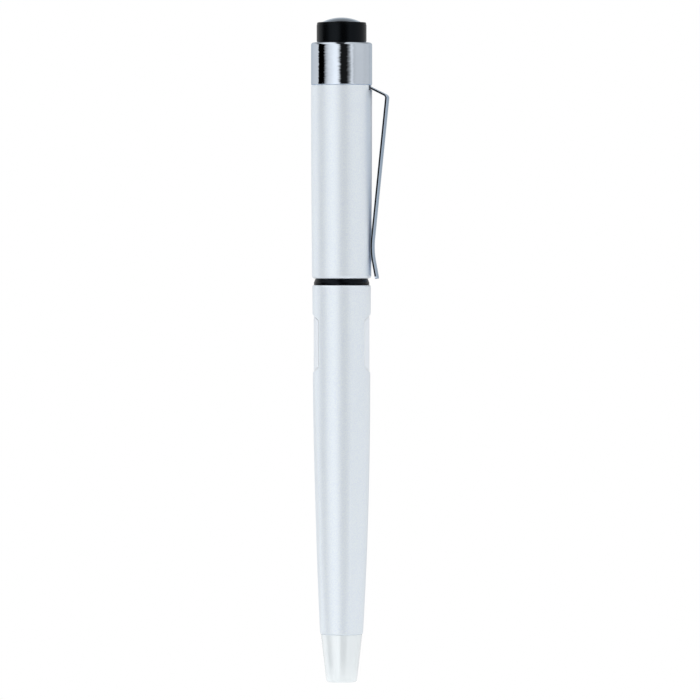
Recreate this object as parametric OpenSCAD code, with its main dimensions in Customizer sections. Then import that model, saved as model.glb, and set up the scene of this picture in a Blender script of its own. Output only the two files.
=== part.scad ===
// Capped technical drawing pen, standing on its tail with the crown up.
// The origin is the centre of the tail's flat end. +Z runs along the pen
// towards the crown and +X points at the clip. All sizes are millimetres.

/* [Tail plug] */

// Height of the seam between the tail plug and the barrel shell
seam_z = 10.06; // [9.6:0.02:10.6]
// Radius of the tail's side wall carried down to the flat end
tail_r = 3.17; // [2.9:0.01:3.2]
// Growth of the tail's radius for each millimetre of height
tail_slope = 0.1133; // [0.1:0.0001:0.115]
// Radius of the rounded edge at the flat end
tail_fillet = 0.5; // [0.3:0.05:0.7]
// Radius of the spigot that plugs the shell's lower bore
tail_spigot_r = 3.58; // [3.5:0.01:3.59]

/* [Barrel shell] */

// Height of the barrel's open end
mouth_z = 82.7; // [82:0.05:83]
// Outer radius at the open end, where a holder grips the barrel
mouth_r = 6.08; // [6.0:0.01:6.15]
// Height below which the barrel starts to curve inwards
knee_z = 62.15; // [60:0.05:63]
// Outer radius at that height
knee_r = 5.96; // [5.94:0.01:6.0]
// Radius of the long curve that draws the barrel in towards the tail
belly_r = 905; // [880:1:960]
// Width of the rounding at the barrel's lower end
seam_edge_w = 0.15; // [0.05:0.01:0.2]
// Height of the rounding at the barrel's lower end
seam_edge_h = 0.5; // [0.2:0.05:0.8]
// Radius of the bore around the ink cartridge
bore_r = 4.9; // [4.86:0.01:4.95]
// Radius of the bore where the tail spigot sits
tail_bore_r = 3.6; // [3.6:0.01:3.64]

/* [Grip flats] */

// Distance of each flat from the pen's axis at its upper end
flat_top_d = 5.83; // [5.8:0.01:5.86]
// Distance of each flat from the pen's axis at its lower end
flat_low_d = 4.51; // [4.45:0.01:4.55]
// Direction of the first of the three flats, seen from the crown
flat_angle = 77.5; // [70:0.5:85]

/* [Ink windows] */

// Distance of the window's seating plane from the pen's axis
window_d = 4.77; // [4.75:0.01:4.85]
// Lower end of the window on its seating plane
window_low_z = 65.7; // [65:0.1:67]
// Upper end of the window on its seating plane
window_high_z = 75.4; // [74:0.1:75.4]
// Outer radius of the translucent pane
pane_r = 5.8; // [5.6:0.01:5.9]
// Direction of the first window, seen from the crown
window_angle = 7.5; // [0:0.5:15]

/* [Joint ring] */

// Outer radius of the ring at its lower edge
ring_low_r = 5.77; // [5.6:0.01:5.9]
// Outer radius of the ring at its upper edge
ring_top_r = 5.42; // [5.2:0.01:5.5]

/* [Cap] */

// Outer radius of the cap shell at its upper end
cap_r = 6.36; // [6.3:0.01:6.4]
// Outer radius where the cap's lower taper ends
cap_mid_r = 6.33; // [6.25:0.01:6.34]
// Outer radius of the chrome band, which a stand's socket takes
band_r = 6.36; // [6.36:0.01:6.45]
// Outer radius of the cap just above its mouth
cap_low_r = 6.19; // [6.15:0.01:6.21]
// Height where the cap's lower taper ends
cap_taper_z = 109.6; // [105:0.1:115]
// Radius of the rounded outer edge at the cap's mouth
cap_lip_r = 0.65; // [0.4:0.05:0.7]
// Radius of the narrow lip inside the cap's mouth
cap_inner_lip_r = 5.3; // [5.28:0.01:5.4]
// Radius of the rounded upper edge of the chrome band
band_fillet = 0.5; // [0.3:0.05:0.8]
// Outer radius of the dark collar on the crown
collar_r = 5.19; // [5.15:0.01:5.3]
// Radius of the collar's narrower top lip
collar_lip_r = 5.12; // [5.0:0.01:5.14]
// Radius of the dome's foot
dome_r = 4.15; // [4.0:0.01:4.16]
// Height of the dome above the collar
dome_rise = 1.0; // [0.6:0.05:1.4]

/* [Clip] */

// Thickness of the sprung strip
clip_t = 0.42; // [0.36:0.01:0.46]
// Width of the strip
clip_w = 4.2; // [3.8:0.05:4.3]
// Outer radius of the bend at the clip's shoulder
clip_bend_r = 0.9; // [0.7:0.05:1.1]
// Corner radius of the clip's free end
clip_tip_r = 0.7; // [0.4:0.05:1.2]

/* [Writing point] */

// Outer radius of the fine end of the nib tube
tube_r = 0.3; // [0.25:0.01:0.35]
// Radius of the cleaning needle
needle_r = 0.1; // [0.06:0.01:0.12]
// Number of rings on the section's grip
grip_rings = 9; // [4:1:9]
// Number of turns in the seal spring, closed ends included
spring_turns = 8; // [6:1:9]
// Radius of the seal spring's wire
spring_wire_r = 0.25; // [0.15:0.01:0.27]

/* [Hidden] */

$fn = 96;
eps = 0.02;
cut = 1;
seat_z = 78.5;
flat_top_z = 59.85;
flat_low_z = 11.94;
flat_slope = (flat_top_d - flat_low_d) / (flat_top_z - flat_low_z);
profile_steps = 22;
ring_z0 = mouth_z + eps;
cap_z = 84.1;
shell_top_z = 124.3;
band_z0 = shell_top_z + eps;
band_z1 = 133.2;
collar_z0 = band_z1 + eps;
collar_z1 = 137.4;
cap_bore_r = 5.55;
sleeve_r = cap_bore_r - eps;
sleeve_bore_r = 5.1;
liner_r = sleeve_bore_r - eps;
liner_bore_r = 4.6;
liner_z0 = 109.5;
liner_lip_z1 = 110.95;
roof_z0 = 129;
roof_z1 = 131;
screw_r = 1.25;
screw_hole_r = 1.3;
screw_head_r = 2;
screw_seat_z = 135;
recess_z = 136.48;
bush_z0 = 77.2;
bush_r = 5.22;
spigot_r = 4.55;
spigot_z0 = 75.5;
shoulder_r = 5;
grip_z0 = 92;
grip_z1 = 106;
section_top_z = 107.98;
grip_top_r = 4.3;
nib_bore_r = 3.3;
nipple_r = 1.8;
nipple_tip_z = 79.5;
seal_z = 78.5;
seal_groove_r = 4;
seal_wire_r = 0.27;
snap_z = 89;
snap_groove_r = 4.62;
collar_nib_z0 = 108;
collar_nib_z1 = 110;
nib_collar_r = 4.2;
band_groove_r = 3.9;
chamber_r = 2.2;
chamber_z1 = 108.2;
nib_low_z = 96;
nib_top_z = 118;
nib_thread_r = 3.25;
plug_top_z = 98;
tube_z0 = 112;
tip_z = 124.5;
weight_z0 = plug_top_z + eps;
weight_z1 = 104;
cartridge_r = 3.4;
cartridge_z0 = 40;
cartridge_z1 = 80;
neck_r = 2.6;
neck_z1 = 84;
cup_r = 4.5;
cup_z0 = 111.02;
cup_step_z = 120.5;
cup_top_z = 126.3;
cup_nose_r = 2.4;
spring_r = 3.4;

// Outer radius of the barrel at height z.
function barrel_r(z) =
    z >= seat_z ? mouth_r :
    z >= knee_z ? knee_r + (mouth_r - knee_r) * (z - knee_z) / (seat_z - knee_z) :
    knee_r - pow(knee_z - z, 2) / (2 * belly_r);

// Outer radius of the tail at height z.
function tail_wall(z) = tail_r + tail_slope * z;

// Outer radius of the grip at height z, before its rings are cut.
function grip_r(z) =
    grip_top_r + (shoulder_r - grip_top_r) * pow((grip_z1 - z) / (grip_z1 - grip_z0), 1.6);

// Points of an arc about (x, z) with radius r from angle a0 to a1.
function arc(x, z, r, a0, a1, n = 8) =
    [for (i = [0:n]) [x + r * cos(a0 + (a1 - a0) * i / n), z + r * sin(a0 + (a1 - a0) * i / n)]];

// Unit vector at angle a.
function along(a) = [cos(a), sin(a)];

module tube(z0, z1, r_out, r_in) {
    translate([0, 0, z0])
        difference() {
            cylinder(h = z1 - z0, r = r_out);
            translate([0, 0, -cut])
                cylinder(h = z1 - z0 + 2 * cut, r = r_in);
        }
}

module bore(z0, z1, r) {
    translate([0, 0, z0])
        cylinder(h = z1 - z0, r = r);
}

// ---- Barrel ----

module barrel_blank() {
    edge_r = 0.2;
    edge_steps = 4;
    body_low_z = seam_z + seam_edge_h;
    edge = [for (i = [0:edge_steps - 1])
        let (z = seam_z + seam_edge_h * i / edge_steps)
        let (share = 1 - i / edge_steps)
        [barrel_r(z) - seam_edge_w * (1 - sqrt(1 - share * share)), z]];
    curve = [for (i = [0:profile_steps])
        let (z = body_low_z + (knee_z - body_low_z) * i / profile_steps)
        [barrel_r(z), z]];
    rotate_extrude()
        polygon(concat(
            [[0, seam_z]],
            edge,
            curve,
            [[mouth_r, seat_z]],
            arc(mouth_r - edge_r, mouth_z - edge_r, edge_r, 0, 90, 4),
            [[0, mouth_z]]
        ));
}

module barrel_bore() {
    taper_low_z = 18;
    taper_mid_z = 30;
    taper_mid_r = 4.2;
    taper_top_z = 60;
    rotate_extrude()
        polygon([
            [0, seam_z - cut],
            [tail_bore_r, seam_z - cut],
            [tail_bore_r, taper_low_z],
            [taper_mid_r, taper_mid_z],
            [bore_r, taper_top_z],
            [bore_r, bush_z0],
            [bush_r, bush_z0],
            [bush_r, mouth_z + cut],
            [0, mouth_z + cut]
        ]);
}

module flat_cutter() {
    reach = 6;
    below = 60;
    above = 12;
    translate([flat_top_d, 0, flat_top_z])
        rotate([0, atan(flat_slope), 0])
            translate([0, -reach, -below])
                cube([reach, 2 * reach, below + above]);
}

// The window's cut, with both ends sloping at 45 degrees.
module window_prism(gap) {
    depth = 3;
    half_width = 6;
    x0 = window_d + gap;
    z0 = window_low_z + gap * sqrt(2);
    z1 = window_high_z - gap * sqrt(2);
    translate([0, half_width, 0])
        rotate([90, 0, 0])
            linear_extrude(height = 2 * half_width)
                polygon([
                    [x0, z0],
                    [x0 + depth, z0 - depth],
                    [x0 + depth, z1 + depth],
                    [x0, z1]
                ]);
}

module barrel_shell() {
    color("Gainsboro")
        difference() {
            barrel_blank();
            barrel_bore();
            for (i = [0:2])
                rotate([0, 0, flat_angle + 120 * i])
                    flat_cutter();
            for (i = [0:1])
                rotate([0, 0, window_angle + 180 * i])
                    window_prism(0);
        }
}

module window_pane() {
    room = 5;
    intersection() {
        window_prism(eps);
        bore(window_low_z - room, window_high_z + room, pane_r);
    }
}

module window_pane_a() {
    color("White")
        rotate([0, 0, window_angle])
            window_pane();
}

module window_pane_b() {
    color("White")
        rotate([0, 0, window_angle + 180])
            window_pane();
}

module barrel_bush() {
    bush_bore_r = 4.6;
    inset = 0.1;
    color("Goldenrod")
        tube(bush_z0 + eps, mouth_z - inset, bush_r - eps, bush_bore_r);
}

module tail_plug() {
    top_z = seam_z - eps;
    edge = 0.12;
    slant = sqrt(1 + tail_slope * tail_slope);
    fillet_x = tail_wall(tail_fillet) - tail_fillet * slant;
    tangent_x = fillet_x + tail_fillet / slant;
    tangent_z = tail_fillet - tail_fillet * tail_slope / slant;
    spigot_z1 = 17;
    spigot_bevel = 0.3;
    hollow_r = 2.4;
    hollow_z0 = 8;
    color("WhiteSmoke")
        difference() {
            rotate_extrude()
                union() {
                    polygon([
                        [0, 0],
                        [fillet_x, 0],
                        [fillet_x, tail_fillet],
                        [tangent_x, tangent_z],
                        [tail_wall(top_z - edge), top_z - edge],
                        [tail_wall(top_z) - edge, top_z],
                        [tail_spigot_r, top_z],
                        [tail_spigot_r, spigot_z1 - spigot_bevel],
                        [tail_spigot_r - spigot_bevel, spigot_z1],
                        [0, spigot_z1]
                    ]);
                    translate([fillet_x, tail_fillet])
                        circle(r = tail_fillet);
                }
            bore(hollow_z0, spigot_z1 + cut, hollow_r);
        }
}

// ---- Joint between barrel and cap ----

module joint_ring() {
    ring_bore_r = 4.7;
    ring_top_z = cap_z - eps;
    ridge_z = 83.4;
    bevel = 0.06;
    color("DimGray")
        rotate_extrude()
            polygon([
                [ring_bore_r, ring_z0],
                [ring_low_r - bevel, ring_z0],
                [ring_low_r, ring_z0 + bevel],
                [ring_low_r, ridge_z - bevel],
                [ring_low_r - bevel, ridge_z],
                [ring_top_r + 2 * bevel, ring_top_z - 3 * bevel],
                [ring_top_r, ring_top_z],
                [ring_bore_r, ring_top_z]
            ]);
}

// ---- Section, the front part that holds the writing point ----

module section_blank() {
    bevel = 0.2;
    pitch = (grip_z1 - grip_z0) / grip_rings;
    groove_depth = 0.22;
    groove = 0.35 * pitch;
    slope = 0.3 * groove;
    grip = [for (i = [0:grip_rings - 1])
        let (z = grip_z0 + pitch * i)
        let (end = z + pitch)
        each [
            [grip_r(z), z],
            [grip_r(end - groove), end - groove],
            [grip_r(end - groove) - groove_depth, end - groove + slope],
            [grip_r(end) - groove_depth, end - slope]
        ]];
    rotate_extrude()
        polygon(concat(
            [
                [0, spigot_z0],
                [spigot_r - bevel, spigot_z0],
                [spigot_r, spigot_z0 + bevel],
                [spigot_r, cap_z + eps],
                [shoulder_r - bevel, cap_z + eps],
                [shoulder_r, cap_z + eps + bevel]
            ],
            grip,
            [
                [grip_top_r, grip_z1],
                [grip_top_r, section_top_z - bevel],
                [grip_top_r - bevel, section_top_z],
                [0, section_top_z]
            ]
        ));
}

module section_body() {
    cartridge_bore_r = 3.5;
    wall_z0 = 88;
    seal_half = 0.3;
    snap_half = 0.52;
    color("DarkSlateGray")
        difference() {
            section_blank();
            bore(spigot_z0 - cut, wall_z0, cartridge_bore_r);
            bore(wall_z0 - cut, grip_z0 + cut, nipple_r + eps);
            bore(grip_z0, section_top_z + cut, nib_bore_r);
            tube(seal_z - seal_half, seal_z + seal_half, bush_r, seal_groove_r);
            tube(snap_z - snap_half, snap_z + snap_half, cap_bore_r, snap_groove_r);
        }
}

module ink_nipple() {
    flange_r = 3.2;
    flange_z1 = 92.8;
    tip_r = 1.3;
    tip_len = 0.8;
    duct_r = 0.9;
    color("LightSteelBlue")
        rotate_extrude()
            polygon([
                [duct_r, nipple_tip_z],
                [tip_r, nipple_tip_z],
                [nipple_r, nipple_tip_z + tip_len],
                [nipple_r, grip_z0 + eps],
                [flange_r, grip_z0 + eps],
                [flange_r, flange_z1],
                [duct_r, flange_z1]
            ]);
}

module section_seal() {
    color("Black")
        rotate_extrude()
            translate([seal_groove_r + eps + seal_wire_r, seal_z])
                circle(r = seal_wire_r, $fn = 32);
}

module snap_ring() {
    ring_r = 5.22;
    ring_bore_r = snap_groove_r + 0.03;
    half = 0.45;
    bevel = 0.15;
    split = 1.2;
    color("Silver")
        difference() {
            rotate_extrude()
                polygon([
                    [ring_bore_r, snap_z - half],
                    [ring_r - bevel, snap_z - half],
                    [ring_r, snap_z - half + bevel],
                    [ring_r, snap_z + half - bevel],
                    [ring_r - bevel, snap_z + half],
                    [ring_bore_r, snap_z + half]
                ]);
            translate([-ring_r - cut, -split / 2, snap_z - cut])
                cube([ring_r, split, 2 * cut]);
        }
}

// ---- Cap ----

module cap_shell() {
    lip_x = cap_low_r - cap_lip_r;
    lip_top_z = 86.9;
    inner_lip_z1 = 85.2;
    inner_lip_slope = 0.3;
    bevel = 0.04;
    slot_z0 = 123.3;
    color("Gainsboro")
        difference() {
            rotate_extrude()
                polygon(concat(
                    [[cap_inner_lip_r, cap_z]],
                    arc(lip_x, cap_z + cap_lip_r, cap_lip_r, -90, 0, 6),
                    [
                        [cap_low_r, lip_top_z],
                        [cap_mid_r, cap_taper_z],
                        [cap_r, shell_top_z - bevel],
                        [cap_r - bevel, shell_top_z],
                        [cap_bore_r, shell_top_z],
                        [cap_bore_r, inner_lip_z1 + inner_lip_slope],
                        [cap_inner_lip_r, inner_lip_z1]
                    ]
                ));
            clip_slot(slot_z0, shell_top_z + cut, cap_r + cut);
        }
}

// Straight-sided opening for the clip's tongue on the +X side.
module clip_slot(z0, z1, reach) {
    side_room = 0.1;
    translate([0, -clip_w / 2 - side_room, z0])
        cube([reach, clip_w + 2 * side_room, z1 - z0]);
}

module cap_band() {
    low_bevel = 0.15;
    color("LightSlateGray")
        difference() {
            rotate_extrude()
                polygon(concat(
                    [
                        [0, band_z0],
                        [band_r - low_bevel, band_z0],
                        [band_r, band_z0 + low_bevel]
                    ],
                    arc(band_r - band_fillet, band_z1 - band_fillet, band_fillet, 0, 90, 8),
                    [[0, band_z1]]
                ));
            bore(band_z0 - cut, roof_z1 + eps, cap_bore_r);
            bore(roof_z1 - cut, band_z1 + cut, screw_hole_r);
        }
}

module crown_collar() {
    edge = 0.2;
    foot_inset = 0.1;
    foot_h = 0.12;
    lip_z = 136.95;
    counterbore_r = screw_head_r + 0.1;
    color("DimGray")
        difference() {
            rotate_extrude()
                polygon(concat(
                    [
                        [0, collar_z0],
                        [collar_r - foot_inset, collar_z0],
                        [collar_r - foot_inset, collar_z0 + foot_h],
                        [collar_r, collar_z0 + foot_h + foot_inset],
                        [collar_r, lip_z - (collar_r - collar_lip_r)],
                        [collar_lip_r, lip_z]
                    ],
                    arc(collar_lip_r - edge, collar_z1 - edge, edge, 0, 90, 5),
                    [[0, collar_z1]]
                ));
            bore(collar_z0 - cut, collar_z1, screw_hole_r);
            bore(screw_seat_z - eps, collar_z1, counterbore_r);
            bore(recess_z, collar_z1 + cut, dome_r + eps);
        }
}

module crown_dome() {
    foot_z = collar_z1 + eps;
    ball_r = (dome_r * dome_r + dome_rise * dome_rise) / (2 * dome_rise);
    color("SlateGray")
        rotate_extrude()
            union() {
                translate([0, recess_z + eps])
                    square([dome_r, foot_z - recess_z - eps]);
                intersection() {
                    translate([0, foot_z + dome_rise - ball_r])
                        circle(r = ball_r, $fn = 256);
                    translate([0, foot_z - eps])
                        square([dome_r, dome_rise + cut]);
                }
            }
}

module crown_screw() {
    tip_z = 129.1;
    tip_bevel = 0.3;
    head_z1 = 136.4;
    slot_w = 0.5;
    slot_depth = 0.6;
    color("Silver")
        difference() {
            rotate_extrude()
                polygon([
                    [0, tip_z],
                    [screw_r - tip_bevel, tip_z],
                    [screw_r, tip_z + tip_bevel],
                    [screw_r, screw_seat_z],
                    [screw_head_r, screw_seat_z],
                    [screw_head_r, head_z1],
                    [0, head_z1]
                ]);
            translate([-screw_head_r - cut, -slot_w / 2, head_z1 - slot_depth])
                cube([2 * (screw_head_r + cut), slot_w, slot_depth + cut]);
        }
}

module joint_sleeve() {
    sleeve_z0 = 119;
    sleeve_z1 = 130.95;
    pocket_z0 = 123.2;
    pocket_z1 = 124.25;
    color("Silver")
        difference() {
            tube(sleeve_z0, sleeve_z1, sleeve_r, sleeve_bore_r);
            clip_slot(pocket_z0, pocket_z1, cap_bore_r + cut);
        }
}

module inner_cap() {
    lip_bore_r = 4.36;
    color("SteelBlue")
        difference() {
            bore(liner_z0, roof_z1, liner_r);
            bore(liner_z0 - cut, roof_z0, lip_bore_r);
            bore(liner_lip_z1, roof_z0, liner_bore_r);
            bore(roof_z0 - cut, roof_z1 + cut, screw_r + eps);
        }
}

// One point of the spring's helix, t turns from its lower end.
function spring_z(t) =
    let (lift = 2 * spring_wire_r + eps)
    let (low = cup_step_z + spring_wire_r + eps)
    let (high = roof_z0 - spring_wire_r - eps)
    let (pitch = (high - low - 2 * lift) / (spring_turns - 2))
    t < 1 ? low + lift * t :
    t > spring_turns - 1 ? high - lift * (spring_turns - t) :
    low + lift + pitch * (t - 1);

module seal_spring() {
    per_turn = 20;
    sides = 8;
    steps = spring_turns * per_turn;
    points = [for (i = [0:steps], j = [0:sides - 1])
        let (t = i / per_turn)
        let (turn = 360 * t)
        let (a = 360 * j / sides)
        let (r = spring_r + spring_wire_r * cos(a))
        [r * cos(turn), r * sin(turn), spring_z(t) + spring_wire_r * sin(a)]];
    walls = [for (i = [0:steps - 1], j = [0:sides - 1])
        let (k = (j + 1) % sides)
        each [
            [i * sides + j, (i + 1) * sides + j, (i + 1) * sides + k],
            [i * sides + j, (i + 1) * sides + k, i * sides + k]
        ]];
    first_end = [[for (j = [0:sides - 1]) j]];
    last_end = [[for (j = [0:sides - 1]) steps * sides + sides - 1 - j]];
    color("Silver")
        polyhedron(points = points, faces = concat(walls, first_end, last_end));
}

// ---- Clip ----

// Corner points of the bent strip, seen from the side.
module clip_profile() {
    tongue_x = 5.15;
    root = [6.1, 124];
    shoulder = [9.83, 122.19];
    inner_touch_x = 6.14;
    touch = [inner_touch_x + clip_t, 90.04];
    arm_a = atan2(shoulder[1] - root[1], shoulder[0] - root[0]);
    shaft_a = atan2(touch[1] - shoulder[1], touch[0] - shoulder[0]);
    flare_a = -79.5;
    touch_r = 16;
    flare_len = 6;
    shoulder_tan = clip_bend_r * tan((arm_a - shaft_a) / 2);
    shoulder_c = shoulder - shoulder_tan * along(arm_a) + clip_bend_r * along(arm_a - 90);
    touch_tan = touch_r * tan((flare_a - shaft_a) / 2);
    touch_c = touch - touch_tan * along(shaft_a) + touch_r * along(shaft_a + 90);
    end_p = touch + (touch_tan + flare_len) * along(flare_a);
    root_c = root + [0, -clip_t];
    outer = concat(
        [[tongue_x, root[1]]],
        arc(root_c[0], root_c[1], clip_t, 90, 90 + arm_a, 4),
        arc(shoulder_c[0], shoulder_c[1], clip_bend_r, arm_a + 90, shaft_a + 90, 16),
        arc(touch_c[0], touch_c[1], touch_r, shaft_a - 90, flare_a - 90, 10),
        [end_p]
    );
    inner = concat(
        [[tongue_x, root_c[1]], root_c],
        arc(shoulder_c[0], shoulder_c[1], clip_bend_r - clip_t, arm_a + 90, shaft_a + 90, 16),
        arc(touch_c[0], touch_c[1], touch_r + clip_t, shaft_a - 90, flare_a - 90, 10),
        [end_p + clip_t * along(flare_a - 90)]
    );
    polygon(concat(outer, [for (i = [len(inner) - 1:-1:0]) inner[i]]));
}

module clip() {
    reach = 12;
    top_z = 130;
    color("Silver")
        intersection() {
            translate([0, clip_w / 2, 0])
                rotate([90, 0, 0])
                    linear_extrude(height = clip_w)
                        clip_profile();
            rotate([90, 0, 90])
                linear_extrude(height = reach)
                    union() {
                        translate([-clip_w / 2 - cut, cap_z + clip_tip_r])
                            square([clip_w + 2 * cut, top_z - cap_z]);
                        translate([-clip_w / 2 + clip_tip_r, cap_z])
                            square([clip_w - 2 * clip_tip_r, top_z - cap_z]);
                        for (s = [-1, 1])
                            translate([s * (clip_w / 2 - clip_tip_r), cap_z + clip_tip_r])
                                circle(r = clip_tip_r);
                    }
        }
}

// ---- Sprung seal inside the cap ----

module seal_cup() {
    throat_r = 3.65;
    throat_z = 118.5;
    nose_bore_r = 1.6;
    nose_z = 119.3;
    roof = 1;
    color("SlateBlue")
        rotate_extrude()
            polygon([
                [throat_r, cup_z0],
                [cup_r, cup_z0],
                [cup_r, cup_step_z],
                [cup_nose_r, cup_step_z],
                [cup_nose_r, cup_top_z],
                [0, cup_top_z],
                [0, cup_top_z - roof],
                [nose_bore_r, cup_top_z - roof],
                [nose_bore_r, nose_z],
                [throat_r, throat_z]
            ]);
}

module seal_pad() {
    pad_z0 = collar_nib_z1 + eps;
    pad_bore_r = 3.35;
    pad_r = 4.3;
    color("Black")
        tube(pad_z0, cup_z0 - eps, pad_r, pad_bore_r);
}

// ---- Writing point ----

module nib_body() {
    cone_foot_r = 3.2;
    cone_top_r = 1.3;
    seat_r = 0.92;
    duct_r = 0.6;
    mid_z = (collar_nib_z0 + collar_nib_z1) / 2;
    band_half = 0.42;
    coil_pitch = 1.1;
    coil_depth = 0.5;
    coil_w = 0.45;
    coil_count = 6;
    color("Ivory")
        difference() {
            rotate_extrude()
                polygon([
                    [0, nib_low_z],
                    [nib_thread_r, nib_low_z],
                    [nib_thread_r, collar_nib_z0],
                    [nib_collar_r, collar_nib_z0],
                    [nib_collar_r, collar_nib_z1],
                    [cone_foot_r, collar_nib_z1],
                    [cone_top_r, nib_top_z],
                    [0, nib_top_z]
                ]);
            bore(nib_low_z - cut, chamber_z1, chamber_r);
            bore(chamber_z1 - cut, tube_z0 + cut, duct_r);
            bore(tube_z0, nib_top_z + cut, seat_r);
            tube(mid_z - band_half, mid_z + band_half, nib_collar_r + cut, band_groove_r);
            for (i = [0:coil_count - 1])
                tube(nib_low_z + cut + coil_pitch * i, nib_low_z + cut + coil_pitch * i + coil_w,
                    nib_collar_r, nib_thread_r - coil_depth);
        }
}

module nib_tube() {
    root_r = 0.9;
    step_r = 0.55;
    step_z = 119;
    fine_z = 121.5;
    root_bore_r = 0.5;
    fine_bore_r = 0.18;
    bevel = 0.15;
    color("Silver")
        rotate_extrude()
            polygon([
                [root_bore_r, tube_z0 + eps],
                [root_r, tube_z0 + eps],
                [root_r, step_z - bevel],
                [step_r, step_z],
                [step_r, fine_z - bevel],
                [tube_r, fine_z],
                [tube_r, tip_z],
                [fine_bore_r, tip_z],
                [fine_bore_r, fine_z],
                [root_bore_r, step_z - bevel]
            ]);
}

module nib_plug() {
    duct_r = 0.6;
    color("Ivory")
        tube(nib_low_z + eps, plug_top_z, chamber_r - eps, duct_r);
}

module line_band() {
    band_half = 0.4;
    mid_z = (collar_nib_z0 + collar_nib_z1) / 2;
    color("Crimson")
        tube(mid_z - band_half, mid_z + band_half, nib_collar_r, band_groove_r + eps);
}

module drop_weight() {
    weight_r = 1.9;
    bevel = 0.3;
    socket_r = needle_r + 0.01;
    socket_z = 101;
    color("Goldenrod")
        rotate_extrude()
            polygon([
                [0, weight_z0],
                [weight_r - bevel, weight_z0],
                [weight_r, weight_z0 + bevel],
                [weight_r, weight_z1 - bevel],
                [weight_r - bevel, weight_z1],
                [socket_r, weight_z1],
                [socket_r, socket_z],
                [0, socket_z]
            ]);
}

module needle_wire() {
    needle_z0 = 101.02;
    needle_z1 = 120.9;
    color("Silver")
        translate([0, 0, needle_z0])
            cylinder(h = needle_z1 - needle_z0, r = needle_r, $fn = 32);
}

// ---- Ink cartridge ----

module ink_cartridge() {
    foot_r = 0.8;
    wall = 0.5;
    neck_bore_r = 1.85;
    shoulder_z = 79.2;
    cavity_z1 = 78.8;
    color("LightCyan")
        difference() {
            rotate_extrude()
                polygon(concat(
                    [[0, cartridge_z0]],
                    arc(cartridge_r - foot_r, cartridge_z0 + foot_r, foot_r, -90, 0, 6),
                    [
                        [cartridge_r, shoulder_z],
                        [neck_r, cartridge_z1],
                        [neck_r, neck_z1],
                        [0, neck_z1]
                    ]
                ));
            bore(cartridge_z0 + foot_r, cavity_z1, cartridge_r - wall);
            bore(cavity_z1 - cut, neck_z1 + cut, neck_bore_r);
        }
}

barrel_shell();
window_pane_a();
window_pane_b();
barrel_bush();
tail_plug();
joint_ring();
section_body();
ink_nipple();
section_seal();
snap_ring();
cap_shell();
cap_band();
crown_collar();
crown_dome();
crown_screw();
joint_sleeve();
inner_cap();
seal_spring();
clip();
seal_cup();
seal_pad();
nib_body();
nib_tube();
nib_plug();
line_band();
drop_weight();
needle_wire();
ink_cartridge();
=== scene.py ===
"""Look of the technical pen: fine meshes, materials, light and camera round the CAD frame."""

import math

import bmesh
import bpy
from mathutils import Matrix, Vector


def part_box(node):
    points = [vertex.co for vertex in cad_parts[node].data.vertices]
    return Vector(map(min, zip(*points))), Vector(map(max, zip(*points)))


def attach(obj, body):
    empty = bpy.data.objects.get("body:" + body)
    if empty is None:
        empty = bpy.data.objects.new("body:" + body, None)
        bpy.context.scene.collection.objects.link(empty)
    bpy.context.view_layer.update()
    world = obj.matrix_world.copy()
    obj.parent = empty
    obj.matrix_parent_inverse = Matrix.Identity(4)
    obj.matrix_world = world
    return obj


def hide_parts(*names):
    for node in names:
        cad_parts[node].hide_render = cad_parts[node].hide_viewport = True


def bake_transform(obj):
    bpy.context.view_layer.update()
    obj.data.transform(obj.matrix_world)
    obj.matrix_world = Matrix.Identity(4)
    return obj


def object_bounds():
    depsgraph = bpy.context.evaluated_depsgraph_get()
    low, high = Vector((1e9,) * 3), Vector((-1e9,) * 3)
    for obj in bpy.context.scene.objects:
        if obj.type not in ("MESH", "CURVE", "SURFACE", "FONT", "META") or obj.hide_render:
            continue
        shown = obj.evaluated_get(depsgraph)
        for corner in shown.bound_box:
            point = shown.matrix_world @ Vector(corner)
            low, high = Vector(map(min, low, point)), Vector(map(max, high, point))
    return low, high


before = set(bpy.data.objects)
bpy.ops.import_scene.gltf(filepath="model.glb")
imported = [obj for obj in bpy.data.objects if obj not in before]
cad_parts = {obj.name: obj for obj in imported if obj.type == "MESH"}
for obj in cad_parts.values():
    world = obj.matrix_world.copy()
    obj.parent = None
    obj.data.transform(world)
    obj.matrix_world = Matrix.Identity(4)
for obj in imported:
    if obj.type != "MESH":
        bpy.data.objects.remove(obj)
cad_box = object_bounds()

MM = 0.001
GAP = 0.02  # mm between pieces that touch in the real pen
SEGMENTS = 288
VIEW_AZIMUTH = 7.5
FLOOR_GLOW = 0.93


# ---------------------------------------------------------------- meshes


def span(node):
    """Lowest and highest z of a CAD node, and its largest radius, in mm."""
    low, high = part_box(node)
    return low[2] / MM, high[2] / MM, max(high[0], -low[0]) / MM


def sin(a):
    """Sine of an angle in degrees."""
    return math.sin(math.radians(a))


def cos(a):
    """Cosine of an angle in degrees."""
    return math.cos(math.radians(a))


def arc(x, z, r, a0, a1, n):
    """Points of an arc about (x, z), angles in degrees."""
    turns = [a0 + (a1 - a0) * i / n for i in range(n + 1)]
    return [(x + r * cos(a), z + r * sin(a)) for a in turns]


def refined(profile, hold=0.05, step=2.5):
    """The profile with points held close to its corners, so that long faces shade flat.
    Shorter sides than six holds stay as they are."""
    out = []
    for (r0, z0), (r1, z1) in zip(profile, profile[1:]):
        length = math.hypot(r1 - r0, z1 - z0)
        out.append((r0, z0))
        if length > 6 * hold:
            count = max(1, int(length / step))
            cuts = [hold / length] + [i / count for i in range(1, count)] + [1 - hold / length]
            out += [(r0 + (r1 - r0) * t, z0 + (z1 - z0) * t) for t in cuts]
    out.append(profile[-1])
    return out


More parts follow.
